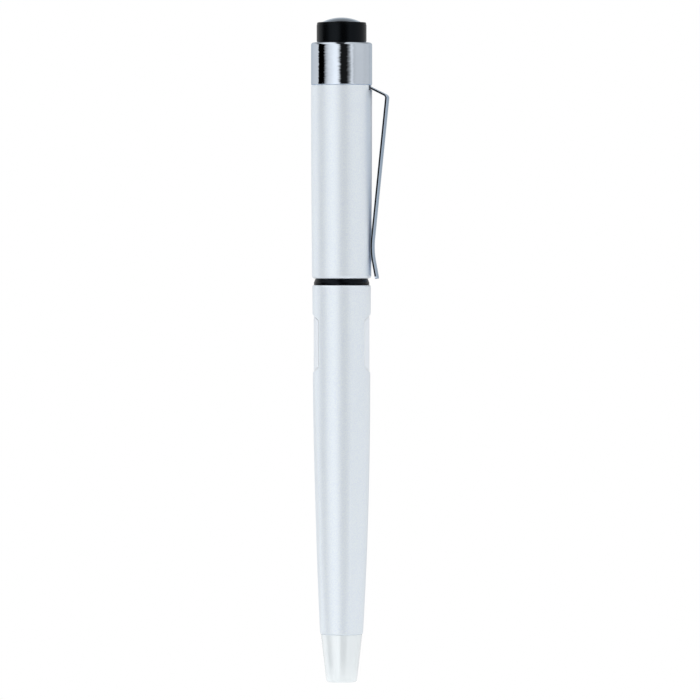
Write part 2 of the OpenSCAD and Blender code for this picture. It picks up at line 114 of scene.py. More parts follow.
def finish_mesh(name, bm, sharp=26):
    """A smooth-shaded object from bm, with creases kept where faces meet sharply."""
    bmesh.ops.remove_doubles(bm, verts=bm.verts, dist=1e-8)
    bmesh.ops.recalc_face_normals(bm, faces=bm.faces)
    mesh = bpy.data.meshes.new(name)
    bm.to_mesh(mesh)
    bm.free()
    ob = bpy.data.objects.new(name, mesh)
    bpy.context.scene.collection.objects.link(ob)
    smooth(ob, sharp)
    return ob


def smooth(ob, sharp=26):
    mesh = ob.data
    mesh.polygons.foreach_set("use_smooth", [True] * len(mesh.polygons))
    mesh.set_sharp_from_angle(angle=math.radians(sharp))
    mesh.update()


def skin(rows, closed=True):
    """A bmesh through rows of points; a row of one point is a pole."""
    bm = bmesh.new()
    rings = [[bm.verts.new((x * MM, y * MM, z * MM)) for x, y, z in row] for row in rows]
    pairs = list(zip(rings, rings[1:]))
    if closed:
        pairs.append((rings[-1], rings[0]))
    for a, b in pairs:
        count = max(len(a), len(b))
        if count == 1:
            continue
        for i in range(count):
            j = (i + 1) % count
            corners = [a[i % len(a)], a[j % len(a)], b[j % len(b)], b[i % len(b)]]
            unique = [v for k, v in enumerate(corners) if v not in corners[:k]]
            if len(unique) > 2:
                bm.faces.new(unique)
    return bm


def turned(profile, segments=SEGMENTS):
    """Rows of a profile of (r, z) turned about the axis."""
    rows = []
    for r, z in profile:
        if r < 1e-6:
            rows.append([(0, 0, z)])
            continue
        rows.append([
            (r * math.cos(2 * math.pi * i / segments), r * math.sin(2 * math.pi * i / segments), z)
            for i in range(segments)
        ])
    return rows


def lathe(name, profile, closed=True, segments=SEGMENTS, sharp=26, hold=0.05):
    """A turned piece. A closed profile joins its last point to its first."""
    points = list(profile) + ([profile[0]] if closed else [])
    points = refined(points, hold)
    if closed:
        points = points[:-1]
    return finish_mesh(name, skin(turned(points, segments), closed), sharp)


def carve(ob, cutter, operation, sharp=26):
    """ob cut by or kept inside cutter, as one finished mesh."""
    mod = ob.modifiers.new("cut", "BOOLEAN")
    mod.object = cutter
    mod.operation = operation
    mod.solver = "EXACT"
    bpy.context.view_layer.update()
    made = bpy.data.meshes.new_from_object(ob.evaluated_get(bpy.context.evaluated_depsgraph_get()))
    ob.modifiers.clear()
    old = ob.data
    ob.data = made
    bpy.data.meshes.remove(old)
    bpy.data.objects.remove(cutter)
    smooth(ob, sharp)


def prism(name, outline, half_width, turn=0.0):
    """A bar with a cross-section given in (x, z), centred on y = 0, turned about z."""
    bm = bmesh.new()
    sides = [
        [bm.verts.new((x * MM, s * half_width * MM, z * MM)) for x, z in outline] for s in (-1, 1)
    ]
    bm.faces.new(sides[0])
    bm.faces.new(sides[1][::-1])
    count = len(outline)
    for i in range(count):
        j = (i + 1) % count
        bm.faces.new([sides[0][i], sides[0][j], sides[1][j], sides[1][i]])
    spin = Matrix.Rotation(math.radians(turn), 3, "Z")
    bmesh.ops.rotate(bm, verts=bm.verts, cent=(0, 0, 0), matrix=spin)
    return finish_mesh(name, bm)


# ---------------------------------------------------------------- barrel

# All sizes are millimetres, and heights are measured from the tail's end. The barrel widens a
# little from its knee to the mouth's seat. Below the knee its outline is one long arc.
shell_z0, shell_z1, _ = span("barrel_shell")
MOUTH_R = 6.08
SEAT_Z = 78.5
KNEE_Z, KNEE_R, BELLY_R = 62.15, 5.96, 905
# Two points of a flat: its height, and its distance from the axis there.
FLAT_TOP, FLAT_LOW = (59.85, 5.83), (11.94, 4.51)
FLAT_ANGLES = (77.5, 197.5, 317.5)
MIN_HALF = math.radians(1.4)  # narrowest strip of points kept where a flat runs out
WINDOW_ANGLES = (7.5, 187.5)
WINDOW_D, WINDOW_Z0, WINDOW_Z1 = 4.77, 65.7, 75.4
WINDOW_HALF = 6  # wide enough to run out through the barrel's skin on both sides
PANE_R = 5.8
SEAM_W, SEAM_H = 0.15, 0.5  # rounding of the barrel's lower end


def barrel_r(z):
    """Radius of the barrel: straight at the mouth, a slight cone, then one long belly."""
    if z >= SEAT_Z:
        return MOUTH_R
    if z >= KNEE_Z:
        return KNEE_R + (MOUTH_R - KNEE_R) * (z - KNEE_Z) / (SEAT_Z - KNEE_Z)
    return KNEE_R - (KNEE_Z - z) ** 2 / (2 * BELLY_R)


def seam_r(z):
    """Radius inside the rounding at the barrel's lower end."""
    return barrel_r(z) - SEAM_W * (1 - math.sqrt(1 - (1 - (z - shell_z0) / SEAM_H) ** 2))


def flat_d(z):
    """Distance of a flat from the axis."""
    slope = (FLAT_TOP[1] - FLAT_LOW[1]) / (FLAT_TOP[0] - FLAT_LOW[0])
    return FLAT_TOP[1] + slope * (z - FLAT_TOP[0])


def window_outline(x, z0, z1):
    """A window's section in (x, z): flat at distance x, with ends that open at 45 degrees."""
    out = 3
    return [(x, z0), (x + out, z0 - out), (x + out, z1 + out), (x, z1)]


def barrel_row(r, z, flats=True):
    """One ring of the barrel. At every height its points stand just off the edges of the three
    flats, with as many between them, so that rings join up cleanly."""
    d = flat_d(z)
    half = math.acos(d / r) if flats and d < r else 0.0
    half = max(half, MIN_HALF)
    edge = math.radians(0.55)
    sector = math.radians(60)
    beside, across = 30, 20
    row = []
    for a in FLAT_ANGLES:
        marks = [-sector + (sector - half - edge) * i / beside for i in range(beside)]
        marks += [-half - edge, -half + edge]
        marks += [-half + edge + (2 * half - 2 * edge) * i / across for i in range(1, across)]
        marks += [half - edge, half + edge]
        marks += [half + edge + (sector - half - edge) * i / beside for i in range(1, beside)]
        for m in marks:
            reach = min(r, d / math.cos(m)) if flats and abs(m) < sector / 2 else r
            turn = math.radians(a) + m
            row.append((reach * math.cos(turn), reach * math.sin(turn), z))
    return row


def barrel_skin():
    """The shell's skin, bore and lower rounding, with both windows cut out of it."""
    edge, steps = 0.32, 90
    bush_r, bush_z = 5.22, 77.2
    seam_top = shell_z0 + SEAM_H
    low = seam_top + 0.4
    rows = [barrel_row(seam_r(z), z) for z in (shell_z0 + SEAM_H * i / 8 for i in range(8))]
    heights = [seam_top, seam_top + 0.05]
    heights += [low + (SEAT_Z - seam_top - 0.4) * i / steps for i in range(steps + 1)]
    heights += [SEAT_Z + 1.5, shell_z1 - edge - 0.05]
    rows += [barrel_row(barrel_r(z), z) for z in heights]
    brim = arc(MOUTH_R - edge, shell_z1 - edge, edge, 0, 90, 6)
    rows += [barrel_row(r, z, False) for r, z in brim]
    inside = [(bush_r, shell_z1), (bush_r, bush_z), (4.9, bush_z)]
    inside += [(4.9, 60), (4.2, 30), (3.6, 18), (3.6, shell_z0)]
    rows += [barrel_row(r, z, False) for r, z in refined(inside)]
    ob = finish_mesh("barrel_skin", skin(rows))
    for a in WINDOW_ANGLES:
        outline = window_outline(WINDOW_D, WINDOW_Z0, WINDOW_Z1)
        carve(ob, prism("cutter", outline, WINDOW_HALF, a), "DIFFERENCE")
    return ob


def pane_skin(name, a):
    """A pane: the part of a round bar that lies in the window, with a small gap all round."""
    gap = 0.05
    bar = [(0, 60), (PANE_R, 60), (PANE_R, 80), (0, 80)]
    ob = lathe(name, bar, closed=False, segments=480)
    outline = window_outline(WINDOW_D + gap, WINDOW_Z0 + 1.414 * gap, WINDOW_Z1 - 1.414 * gap)
    carve(ob, prism("cutter", outline, WINDOW_HALF, a), "INTERSECT")
    return ob


def tail_skin():
    """The tail: a cone with a filleted foot, and the hollow plug that goes up into the barrel."""
    z0, z1, _ = span("tail_plug")
    slope, foot, fillet, top = 0.1133, 3.17, 0.5, shell_z0 - GAP
    slant = math.hypot(1, slope)
    fx = foot + slope * fillet - fillet * slant
    wall = lambda z: foot + slope * z
    bevel, plug_r, bore_r, floor_z = 0.12, 3.58, 2.4, 8
    profile = [(0, z0)] + arc(fx, fillet, fillet, -90, -math.degrees(math.atan(slope)), 10)
    profile += [(wall(top - bevel), top - bevel), (wall(top) - bevel, top), (plug_r, top)]
    profile += [(plug_r, z1 - 0.3), (3.28, z1), (bore_r, z1), (bore_r, floor_z), (0, floor_z)]
    return lathe("tail_skin", profile, closed=False)


def ring_skin():
    """The black ring: straight below its ridge and drawn in above it."""
    z0, z1, low_r = span("joint_ring")
    bore_r, top_r, bevel, ridge = 4.7, 5.42, 0.06, 83.4
    profile = [(bore_r, z0), (low_r - bevel, z0), (low_r, z0 + bevel), (low_r, ridge - bevel)]
    profile += [(low_r - bevel, ridge), (top_r + 2 * bevel, z1 - 3 * bevel)]
    profile += [(top_r, z1), (bore_r, z1)]
    return lathe("ring_skin", profile, hold=0.02)


# ---------------------------------------------------------------- cap


CAP_BORE = 5.55
SCREW_HOLE = 1.3
SLOT_Z = 123.3  # foot of the clip's slot


def cap_skin():
    """The cap's shell, two slight cones with a round lip, and the slot for the clip."""
    z0, z1, r = span("cap_shell")
    low_r, mid_r, lip, mouth_r, bevel = 6.19, 6.33, 0.65, 5.3, 0.04
    profile = [(mouth_r, z0)] + arc(low_r - lip, z0 + lip, lip, -90, 0, 12)
    profile += [(low_r, 86.9), (mid_r, 109.6), (r, z1 - bevel), (r - bevel, z1)]
    profile += [(CAP_BORE, z1), (CAP_BORE, 85.5), (mouth_r, 85.2)]
    ob = lathe("cap_skin", profile)
    out, top = 8, z1 + 1
    slot = [(0, SLOT_Z), (out, SLOT_Z), (out, top), (0, top)]
    carve(ob, prism("cutter", slot, CLIP_W / 2 + 0.1), "DIFFERENCE")
    return ob


def band_skin():
    """The chrome band, closed above but for the screw's hole."""
    z0, z1, r = span("cap_band")
    fillet, bevel, roof = 0.5, 0.15, 131.02
    profile = [(CAP_BORE, z0), (r - bevel, z0), (r, z0 + bevel)]
    profile += arc(r - fillet, z1 - fillet, fillet, 0, 90, 14)
    profile += [(SCREW_HOLE, z1), (SCREW_HOLE, roof), (CAP_BORE, roof)]
    return lathe("band_skin", profile)


def collar_skin():
    """The black collar, stepped at its foot and lip, with a recess for the dome."""
    z0, z1, r = span("crown_collar")
    edge, foot, foot_h, lip_z, lip_r = 0.2, 0.1, 0.12, 136.95, 5.12
    recess_r, recess_z, head_r, head_z = 4.17, 136.48, 2.1, 134.98
    profile = [(SCREW_HOLE, z0), (r - foot, z0)]
    profile += [(r - foot, z0 + foot_h), (r, z0 + foot_h + foot)]
    profile += [(r, lip_z - (r - lip_r)), (lip_r, lip_z)]
    profile += arc(lip_r - edge, z1 - edge, edge, 0, 90, 8)
    profile += [(recess_r, z1), (recess_r, recess_z), (head_r, recess_z)]
    profile += [(head_r, head_z), (SCREW_HOLE, head_z)]
    return lathe("collar_skin", profile, hold=0.03)


def dome_skin():
    """The dome: a disc with a spherical top."""
    z0, z1, r = span("crown_dome")
    foot = 137.42
    rise = z1 - foot
    ball = (r * r + rise * rise) / (2 * rise)
    reach = math.degrees(math.asin(r / ball))
    profile = [(0, z0), (r, z0), (r, foot)] + arc(0, z1 - ball, ball, 90 - reach, 90, 40)
    return lathe("dome_skin", profile[:-1] + [(0, z1)], closed=False)


# ---------------------------------------------------------------- clip


CLIP_W, CLIP_T = 4.2, 0.42
CLIP_TIP = 0.7  # radius of the corners at the free end


def direction(a):
    """Unit vector in the xz plane at a degrees from +X."""
    return Vector((cos(a), sin(a)))


def clip_path():
    """Centreline of the strip as (point, normal) pairs in the xz plane.
    The strip runs from the tongue over the arm and the shoulder's bend down the shaft. It
    touches the cap in a wide bend of radius touch_r, and its free end flares out."""
    t, bend, touch_r, flare = CLIP_T, 0.9, 16, -79.5
    root, shoulder = Vector((6.1, 124)), Vector((9.83, 122.19))
    touch = Vector((6.14 + t, 90.04))
    arm = math.degrees(math.atan2(shoulder[1] - root[1], shoulder[0] - root[0]))
    shaft = math.degrees(math.atan2(touch[1] - shoulder[1], touch[0] - shoulder[0]))
    cut = bend * math.tan(math.radians((arm - shaft) / 2))
    centre = shoulder - cut * direction(arm) + bend * direction(arm - 90)
    touch_cut = touch_r * math.tan(math.radians((flare - shaft) / 2))
    touch_c = touch - touch_cut * direction(shaft) + touch_r * direction(shaft + 90)
    end = touch + touch_cut * direction(flare)
    length = (end[1] - span("clip")[0]) / math.cos(math.radians(90 + flare))
    outer = []
    for x in (5.15, 5.4, 5.8):
        outer.append((Vector((x, root[1])), 90))
    for i in range(6):
        a = 90 + arm * i / 5
        outer.append((root - t * direction(90) + t * direction(a), a))
    foot = shoulder - cut * direction(arm)
    for i in range(1, 8):
        outer.append((outer[8][0].lerp(foot, i / 8), 90 + arm))
    for i in range(25):
        a = arm + 90 + (shaft - arm) * i / 24
        outer.append((centre + bend * direction(a), a))
    top, low = outer[-1][0], touch_c + touch_r * direction(shaft - 90)
    for i in range(1, 40):
        outer.append((top.lerp(low, i / 40), shaft + 90))
    for i in range(17):
        a = shaft - 90 + (flare - shaft) * i / 16
        outer.append((touch_c + touch_r * direction(a), a + 180))
    for i in range(1, 13):
        outer.append((end + direction(flare) * (length - CLIP_TIP) * i / 12, flare + 90))
    for i in range(1, 13):
        reached = length - CLIP_TIP * (1 - sin(90 * i / 12))
        outer.append((end + direction(flare) * reached, flare + 90))
    return [(p - 0.5 * t * direction(a), direction(a)) for p, a in outer]


def edge_section(half, t):
    """Cross-section of the strip as (across, height).
    Its cut edges lean in by low to high degrees, its outer corners are rolled over to level
    degrees and its outer face is bowed."""
    burr, roll, bow, low, high, level = 0.01, 0.08, 0.055, 6, 18, 85
    rise = t - burr * (1 + sin(low)) - roll * (sin(level) - sin(high))
    crown = rise / (sin(high) - sin(low))
    foot = half - burr, burr - t / 2
    flank = foot[0] + (burr - crown) * cos(low), foot[1] + (burr - crown) * sin(low)
    crest = flank[0] + (crown - roll) * cos(high), flank[1] + (crown - roll) * sin(high)
    right = arc(*foot, burr, -90, low, 4) + arc(*flank, crown, low, high, 6)[1:]
    right += arc(*crest, roll, high, level, 8)[1:]
    y, h = right[-1]
    right += [(y * k / 5, h + (1 - (k / 5) ** 2) * bow) for k in (4.95, 4, 3, 2, 1, 0.05)]
    return right[::-1] + [(-y, h) for y, h in right]


def clip_skin():
    """The strip as sections set along its centreline, drawn in at the free end's round corners."""
    t, w, tip = CLIP_T, CLIP_W, CLIP_TIP
    path = clip_path()
    low = path[-1][0][1]
    rows = []
    for p, n in path:
        rise = p[1] - low
        half = w / 2
        if rise < tip:
            half = w / 2 - tip + math.sqrt(max(tip * tip - (tip - rise) ** 2, 0))
        half = max(half, w / 2 - tip)
        section = edge_section(half, t)
        fine = []
        for (y0, h0), (y1, _) in zip(section, section[1:] + section[:1]):
            fine.append((y0, h0))
            wide_back = abs(y1 - y0) > 1 and h0 < 0
            if wide_back:
                cuts = [0.02] + [i / 10 for i in range(1, 10)] + [0.98]
                fine += [(y0 + (y1 - y0) * c, h0) for c in cuts]
        rows.append([(p[0] + n[0] * h, y, p[1] + n[1] * h) for y, h in fine])
    first, last = path[0][0], path[-1][0]
    rows = [[(first[0], 0, first[1])]] + rows + [[(last[0], 0, last[1])]]
    return finish_mesh("clip_skin", skin(rows, closed=False), 40)


# ---------------------------------------------------------------- seal spring

SPRING_TURNS = 8
SPRING_WIRE = 0.25


def spring_skin():
    """The seal spring: a round wire wound in a helix, with its end turns closed."""
    z0, z1, r = span("seal_spring")
    coil_r = r - SPRING_WIRE
    low, high = z0 + SPRING_WIRE, z1 - SPRING_WIRE
    lift = 2 * SPRING_WIRE + GAP
    pitch = (high - low - 2 * lift) / (SPRING_TURNS - 2)
    per_turn, sides = 48, 16
    rows = []
    for i in range(SPRING_TURNS * per_turn + 1):
        t = i / per_turn
        z = low + lift * min(t, 1) + pitch * min(max(t - 1, 0), SPRING_TURNS - 2)
        z += lift * max(t - SPRING_TURNS + 1, 0)
        row = []
        for j in range(sides):
            a = 360 / sides * j
            out = coil_r + SPRING_WIRE * cos(a)
            row.append((out * cos(360 * t), out * sin(360 * t), z + SPRING_WIRE * sin(a)))
        rows.append(row)
    ends = []
    for t, z in ((0, low), (SPRING_TURNS, high)):
        ends.append([(coil_r * cos(360 * t), coil_r * sin(360 * t), z)])
    return finish_mesh("spring_skin", skin(ends[:1] + rows + ends[1:], closed=False), 40)


# ---------------------------------------------------------------- materials


class Shader:
    """A Principled material with helpers for its pattern nodes."""

    def __init__(self, name, **values):
        self.mat = bpy.data.materials.new(name)
        self.mat.use_nodes = True
        self.tree = self.mat.node_tree
        self.bsdf = self.tree.nodes["Principled BSDF"]
        for key, value in values.items():
            self.bsdf.inputs[key.replace("_", " ")].default_value = value
        self.coord = self.tree.nodes.new("ShaderNodeTexCoord").outputs["Object"]

    def node(self, kind, **inputs):
        n = self.tree.nodes.new(kind)
        for key, value in inputs.items():
            self.feed(n.inputs[key.replace("_", " ")], value)
        return n

    def feed(self, socket, value):
        if isinstance(value, bpy.types.NodeSocket):
            self.tree.links.new(value, socket)
        else:
            socket.default_value = value

    def noise(self, scale, detail=2.0, stretch=(1, 1, 1), rough=0.5):
        at = self.node("ShaderNodeMapping", Vector=self.coord, Scale=stretch).outputs[0]
        n = self.node("ShaderNodeTexNoise", Vector=at, Scale=scale, Detail=detail, Roughness=rough)
        return n.outputs["Fac"]

    def levels(self, value, low, high, out_low=0.0, out_high=1.0):
        n = self.tree.nodes.new("ShaderNodeMapRange")
        self.feed(n.inputs["Value"], value)
        self.feed(n.inputs["From Min"], low)
        self.feed(n.inputs["From Max"], high)
        self.feed(n.inputs["To Min"], out_low)
        self.feed(n.inputs["To Max"], out_high)
        return n.outputs[0]

    def soft(self, pattern, out_low=0.0, out_high=1.0):
        """A noise pattern, which keeps mostly to 0.3 to 0.7, spread over a range."""
        return self.levels(pattern, 0.3, 0.7, out_low, out_high)

    def maths(self, kind, a, b):
        n = self.tree.nodes.new("ShaderNodeMath")
        n.operation = kind
        self.feed(n.inputs[0], a)
        self.feed(n.inputs[1], b)
        return n.outputs[0]

    def blend(self, factor, a, b):
        n = self.tree.nodes.new("ShaderNodeMix")
        n.data_type = "RGBA"
        self.feed(n.inputs["Factor"], factor)
        self.feed(n.inputs["A"], a)
        self.feed(n.inputs["B"], b)
        return n.outputs["Result"]

    def mixed(self, factor, a, b):
        n = self.tree.nodes.new("ShaderNodeMixShader")
        for socket, value in zip(n.inputs, (factor, a, b)):
            self.feed(socket, value)
        return n.outputs[0]

    def set(self, name, value):
        self.feed(self.bsdf.inputs[name], value)
        return self

    def sway(self, value):
        """The shading normal swung sideways about z by value, which leaves reflections ragged."""
        normal = self.node("ShaderNodeNewGeometry").outputs["Normal"]
        side = self.tree.nodes.new("ShaderNodeVectorMath")
        side.operation = "CROSS_PRODUCT"
        self.feed(side.inputs[0], normal)
        side.inputs[1].default_value = (0, 0, 1)
        swung = self.tree.nodes.new("ShaderNodeVectorMath")
        swung.operation = "MULTIPLY_ADD"
        self.feed(swung.inputs[0], side.outputs[0])
        self.feed(swung.inputs[1], value)
        self.feed(swung.inputs[2], normal)
        return swung.outputs[0]

    def bump(self, height, strength, distance, normal=None):
        n = self.tree.nodes.new("ShaderNodeBump")
        self.feed(n.inputs["Height"], height)
        n.inputs["Strength"].default_value = strength
        n.inputs["Distance"].default_value = distance
        if normal:
            self.feed(n.inputs["Normal"], normal)
        return self.set("Normal", n.outputs[0])


def rgb(r, g, b):
    return (r, g, b, 1.0)


def pearl():
    """Pearl lacquer: a fine grain in tone, gloss and height, with soft clouds and long scuffs."""
    s = Shader("pearl_lacquer", IOR=1.5, Metallic=0.25, Specular_IOR_Level=0.3)
    grain = s.noise(4300, 2, rough=0.6)
    cloud = s.noise(160, 3)
    tone = s.maths("ADD", s.soft(grain, -1.1, 1.1), s.soft(cloud, -0.1, 0.1))
    tone = s.maths("ADD", tone, 0.5)
    s.set("Base Color", s.blend(tone, rgb(0.828, 0.897, 0.982), rgb(0.888, 0.955, 1.0)))
    scuff = s.noise(500, 4, (1, 1, 0.12))
    worn = s.levels(scuff, 0.62, 0.75, 0.0, 0.05)
    s.set("Roughness", s.maths("ADD", s.soft(grain, 0.28, 0.34), worn))
    return s.bump(grain, 1.0, 0.000022).mat


def gloss_white():
    """The tail's smoother white plastic under a thin clear coat."""
    s = Shader("tail_white", IOR=1.5, Metallic=0.25, Coat_Weight=0.4, Coat_Roughness=0.05)
    cloud = s.noise(220, 3)
    fine = s.noise(7000, 2)
    tone = s.blend(s.soft(cloud), rgb(0.908, 0.966, 0.998), rgb(0.925, 0.978, 1.0))
    s.set("Base Color", tone)
    s.set("Roughness", s.soft(fine, 0.16, 0.22))
    return s.bump(fine, 0.08, 0.000008).mat


def window_white(name, shade):
    """Diffuse white plastic. A shade below one darkens its colour, which paints shade onto the
    plastic.
    """
    s = Shader(name, IOR=1.49)
    fine = s.noise(5000, 3)
    cloud = s.noise(300, 2)
    dull = rgb(*[shade * c for c in (0.86, 0.915, 0.975)])
    clear = rgb(*[shade * c for c in (0.885, 0.935, 0.995)])
    s.set("Base Color", s.blend(s.soft(cloud), dull, clear))
    s.set("Roughness", s.soft(fine, 0.4, 0.5))
    return s.bump(fine, 0.1, 0.00001).mat


def blue_chrome():
    """Cool chrome whose polishing lines make the edges of its reflections ragged."""
    s = Shader("blue_chrome", Metallic=1.0, Specular_Tint=rgb(0.86, 0.93, 1.0))
    polish = s.noise(3300, 3, (0.15, 0.15, 1))
    teeth = s.noise(3400, 3, (0.2, 0.2, 1), 0.7)
    haze = s.noise(240, 3)
    s.set("Base Color", s.blend(s.soft(haze), rgb(0.7, 0.77, 0.86), rgb(0.74, 0.81, 0.9)))
    dim = s.levels(haze, 0.5, 0.8, 0.0, 0.02)
    s.set("Roughness", s.maths("ADD", s.soft(polish, 0.03, 0.06), dim))
    swung = s.sway(s.soft(teeth, -0.032, 0.032))
    return s.bump(polish, 0.05, 0.000006, swung).mat


def clip_metal():
    """The clip's spring metal, brushed along its length, with painted shade: its base colour turns
    dark on surfaces that face down.
    """
    s = Shader("clip_metal", Metallic=1.0, Specular_Tint=rgb(0.76, 0.88, 1.0))
    brush = s.noise(5000, 3, (1, 1, 0.05))
    haze = s.noise(200, 3)
    polished = s.blend(s.soft(haze), rgb(0.62, 0.71, 0.84), rgb(0.67, 0.75, 0.88))
    # Painted shade: surfaces whose normal points down get a dark base colour.
    normal = s.node("ShaderNodeNewGeometry").outputs["Normal"]
    split = s.node("ShaderNodeSeparateXYZ", Vector=normal)
    down_facing_painted_shade = s.levels(split.outputs["Z"], -0.35, -0.85)
    s.set("Base Color", s.blend(down_facing_painted_shade, polished, rgb(0.12, 0.145, 0.19)))
    s.set("Roughness", s.soft(brush, 0.02, 0.05))
    return s.bump(brush, 0.05, 0.000006).mat


def black_satin():
    """Satin black plastic, rubbed a little greyer in places."""
    tint = rgb(0.7, 0.84, 1.0)
    s = Shader("black_satin", IOR=1.45, Specular_IOR_Level=0.2, Specular_Tint=tint)
    fine = s.noise(6500, 3)
    rub = s.noise(700, 4, (1, 1, 0.3))
    black, rubbed = rgb(0.0006, 0.0007, 0.0009), rgb(0.0016, 0.0018, 0.0022)
    s.set("Base Color", s.blend(s.levels(rub, 0.45, 0.8), black, rubbed))
    s.set("Roughness", s.soft(fine, 0.2, 0.3))
    return s.bump(fine, 0.12, 0.00001).mat


def moulded(name, a, b, rough=(0.35, 0.5), **values):
    """Moulded plastic or rubber: soft mottling and a fine spark-eroded grain."""
    s = Shader(name, **values)
    fine = s.noise(4500, 3)
    cloud = s.noise(260, 3)
    s.set("Base Color", s.blend(s.soft(cloud), rgb(*a), rgb(*b)))
    s.set("Roughness", s.soft(fine, *rough))
    return s.bump(fine, 0.15, 0.000012).mat


def turned_metal(name, a, b, rough=(0.18, 0.3), pitch=9000):
    """Turned metal with fine rings along its length."""
    s = Shader(name, Metallic=1.0)
    rings = s.noise(pitch, 2, (0.02, 0.02, 1))
    stain = s.noise(350, 4)
    s.set("Base Color", s.blend(s.levels(stain, 0.3, 0.75), rgb(*a), rgb(*b)))
    s.set("Roughness", s.soft(rings, *rough))
    return s.bump(rings, 0.25, 0.00001).mat


PEARL = pearl()
CHROME = blue_chrome()
SATIN = black_satin()
WHITE = gloss_white()
# The second pane's copy of the plastic is 7 % darker: painted shade on one of two panes of the
# same plastic.
WINDOWS = window_white("window_white_a", 1.0), window_white("window_white_b_painted_shade", 0.93)
CLIP = clip_metal()
STEEL = turned_metal("spring_steel", (0.56, 0.57, 0.59), (0.64, 0.65, 0.67))
BRASS = turned_metal("brass_turned", (0.72, 0.53, 0.24), (0.82, 0.64, 0.34))
SECTION = moulded("section_grey", (0.018, 0.02, 0.022), (0.028, 0.03, 0.033), (0.4, 0.55))
RUBBER = moulded("seal_rubber", (0.012, 0.012, 0.012), (0.02, 0.02, 0.02), (0.55, 0.75))
DUCT = moulded("duct_plastic", (0.5, 0.54, 0.57), (0.56, 0.6, 0.63))
LINER = moulded("inner_cap_plastic", (0.05, 0.09, 0.18), (0.065, 0.11, 0.21))
CUP = moulded("cup_plastic", (0.1, 0.13, 0.24), (0.13, 0.16, 0.28))
NIB = moulded("nib_plastic", (0.78, 0.75, 0.66), (0.84, 0.81, 0.72), (0.2, 0.32))
LINE = moulded("band_colour", (0.5, 0.03, 0.02), (0.6, 0.05, 0.03), (0.2, 0.3))
CARTRIDGE = moulded(
    "cartridge_clear", (0.62, 0.69, 0.72), (0.7, 0.76, 0.78), (0.12, 0.22), Transmission_Weight=0.6
)

# ---------------------------------------------------------------- pieces


def place(ob, body, node, mat):
    """Puts a piece on its body, in the place of its CAD node."""
    ob.data.materials.clear()
    ob.data.materials.append(mat)
    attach(ob, body)
    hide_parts(node)


pane_a = pane_skin("pane_skin_a", WINDOW_ANGLES[0])
pane_b = pane_skin("pane_skin_b", WINDOW_ANGLES[1])
place(barrel_skin(), "barrel", "barrel_shell", PEARL)
place(pane_a, "barrel", "window_pane_a", WINDOWS[0])
place(pane_b, "barrel", "window_pane_b", WINDOWS[1])
place(tail_skin(), "barrel", "tail_plug", WHITE)
place(ring_skin(), "joint_ring", "joint_ring", SATIN)
place(cap_skin(), "cap", "cap_shell", PEARL)
place(band_skin(), "cap", "cap_band", CHROME)
place(collar_skin(), "cap", "crown_collar", SATIN)
place(dome_skin(), "cap", "crown_dome", CHROME)
place(clip_skin(), "clip", "clip", CLIP)

# The spring closes up between the sprung cup and the cap's liner.
spring = spring_skin()
spring.data.materials.append(STEEL)
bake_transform(spring)
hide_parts("seal_spring")

# CAD nodes that are shown as they are.
CARRIED = {
    "barrel_bush": BRASS, "section_body": SECTION, "ink_nipple": DUCT, "section_seal": RUBBER,
    "snap_ring": STEEL, "crown_screw": STEEL, "joint_sleeve": STEEL, "inner_cap": LINER,
    "seal_cup": CUP, "seal_pad": RUBBER, "nib_body": NIB, "nib_tube": STEEL,
    "nib_plug": NIB, "line_band": LINE, "drop_weight": BRASS, "needle_wire": STEEL,
    "ink_cartridge": CARTRIDGE,
}
for node, mat in CARRIED.items():
    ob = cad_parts[node]
    for s in ob.material_slots:
        s.link = "OBJECT"
        s.material = mat

# ---------------------------------------------------------------- stage

scene = bpy.context.scene
azimuth = math.radians(VIEW_AZIMUTH)
toward = Vector((math.sin(azimuth), -math.cos(azimuth), 0))
right = Vector((math.cos(azimuth), math.sin(azimuth), 0))

# The floor looks plain white to the camera. What it reflects onto the pen is set apart: a pool
# of light round the pen for soft rays, and a small bright patch at its foot for sharp ones.
bm = bmesh.new()
bmesh.ops.create_circle(bm, cap_ends=True, radius=1.6, segments=96)
floor = finish_mesh("floor", bm)
floor.location = (0, 0, cad_box[0][2])
paper = Shader("floor_paper")
tree = paper.tree
reach = tree.nodes.new("ShaderNodeVectorMath")
reach.operation = "LENGTH"
tree.links.new(paper.coord, reach.inputs[0])
fleck = paper.soft(paper.noise(900, 3), 0.97, 1.0)
fade = paper.levels(reach.outputs["Value"], 0.05, 0.3, 1.0, 0.0)
pool = paper.maths("MULTIPLY", fade, fleck)
glow = paper.node("ShaderNodeEmission", Strength=FLOOR_GLOW).outputs[0]
open_air = tree.nodes.new("ShaderNodeBsdfTransparent").outputs[0]
white = tree.nodes.new("ShaderNodeEmission").outputs[0]
path = tree.nodes.new("ShaderNodeLightPath").outputs
near = paper.levels(reach.outputs["Value"], 0.006, 0.02, 0.6, 0.0)
share = paper.maths("MULTIPLY", pool, 0.28)
share = paper.maths("ADD", share, paper.maths("MULTIPLY", path["Is Diffuse Ray"], 0.55))
share = paper.maths("ADD", share, paper.maths("MULTIPLY", path["Is Glossy Ray"], near))
surface = paper.mixed(path["Is Camera Ray"], paper.mixed(share, open_air, glow), white)
tree.links.new(surface, tree.nodes["Material Output"].inputs["Surface"])
floor.data.materials.append(paper.mat)

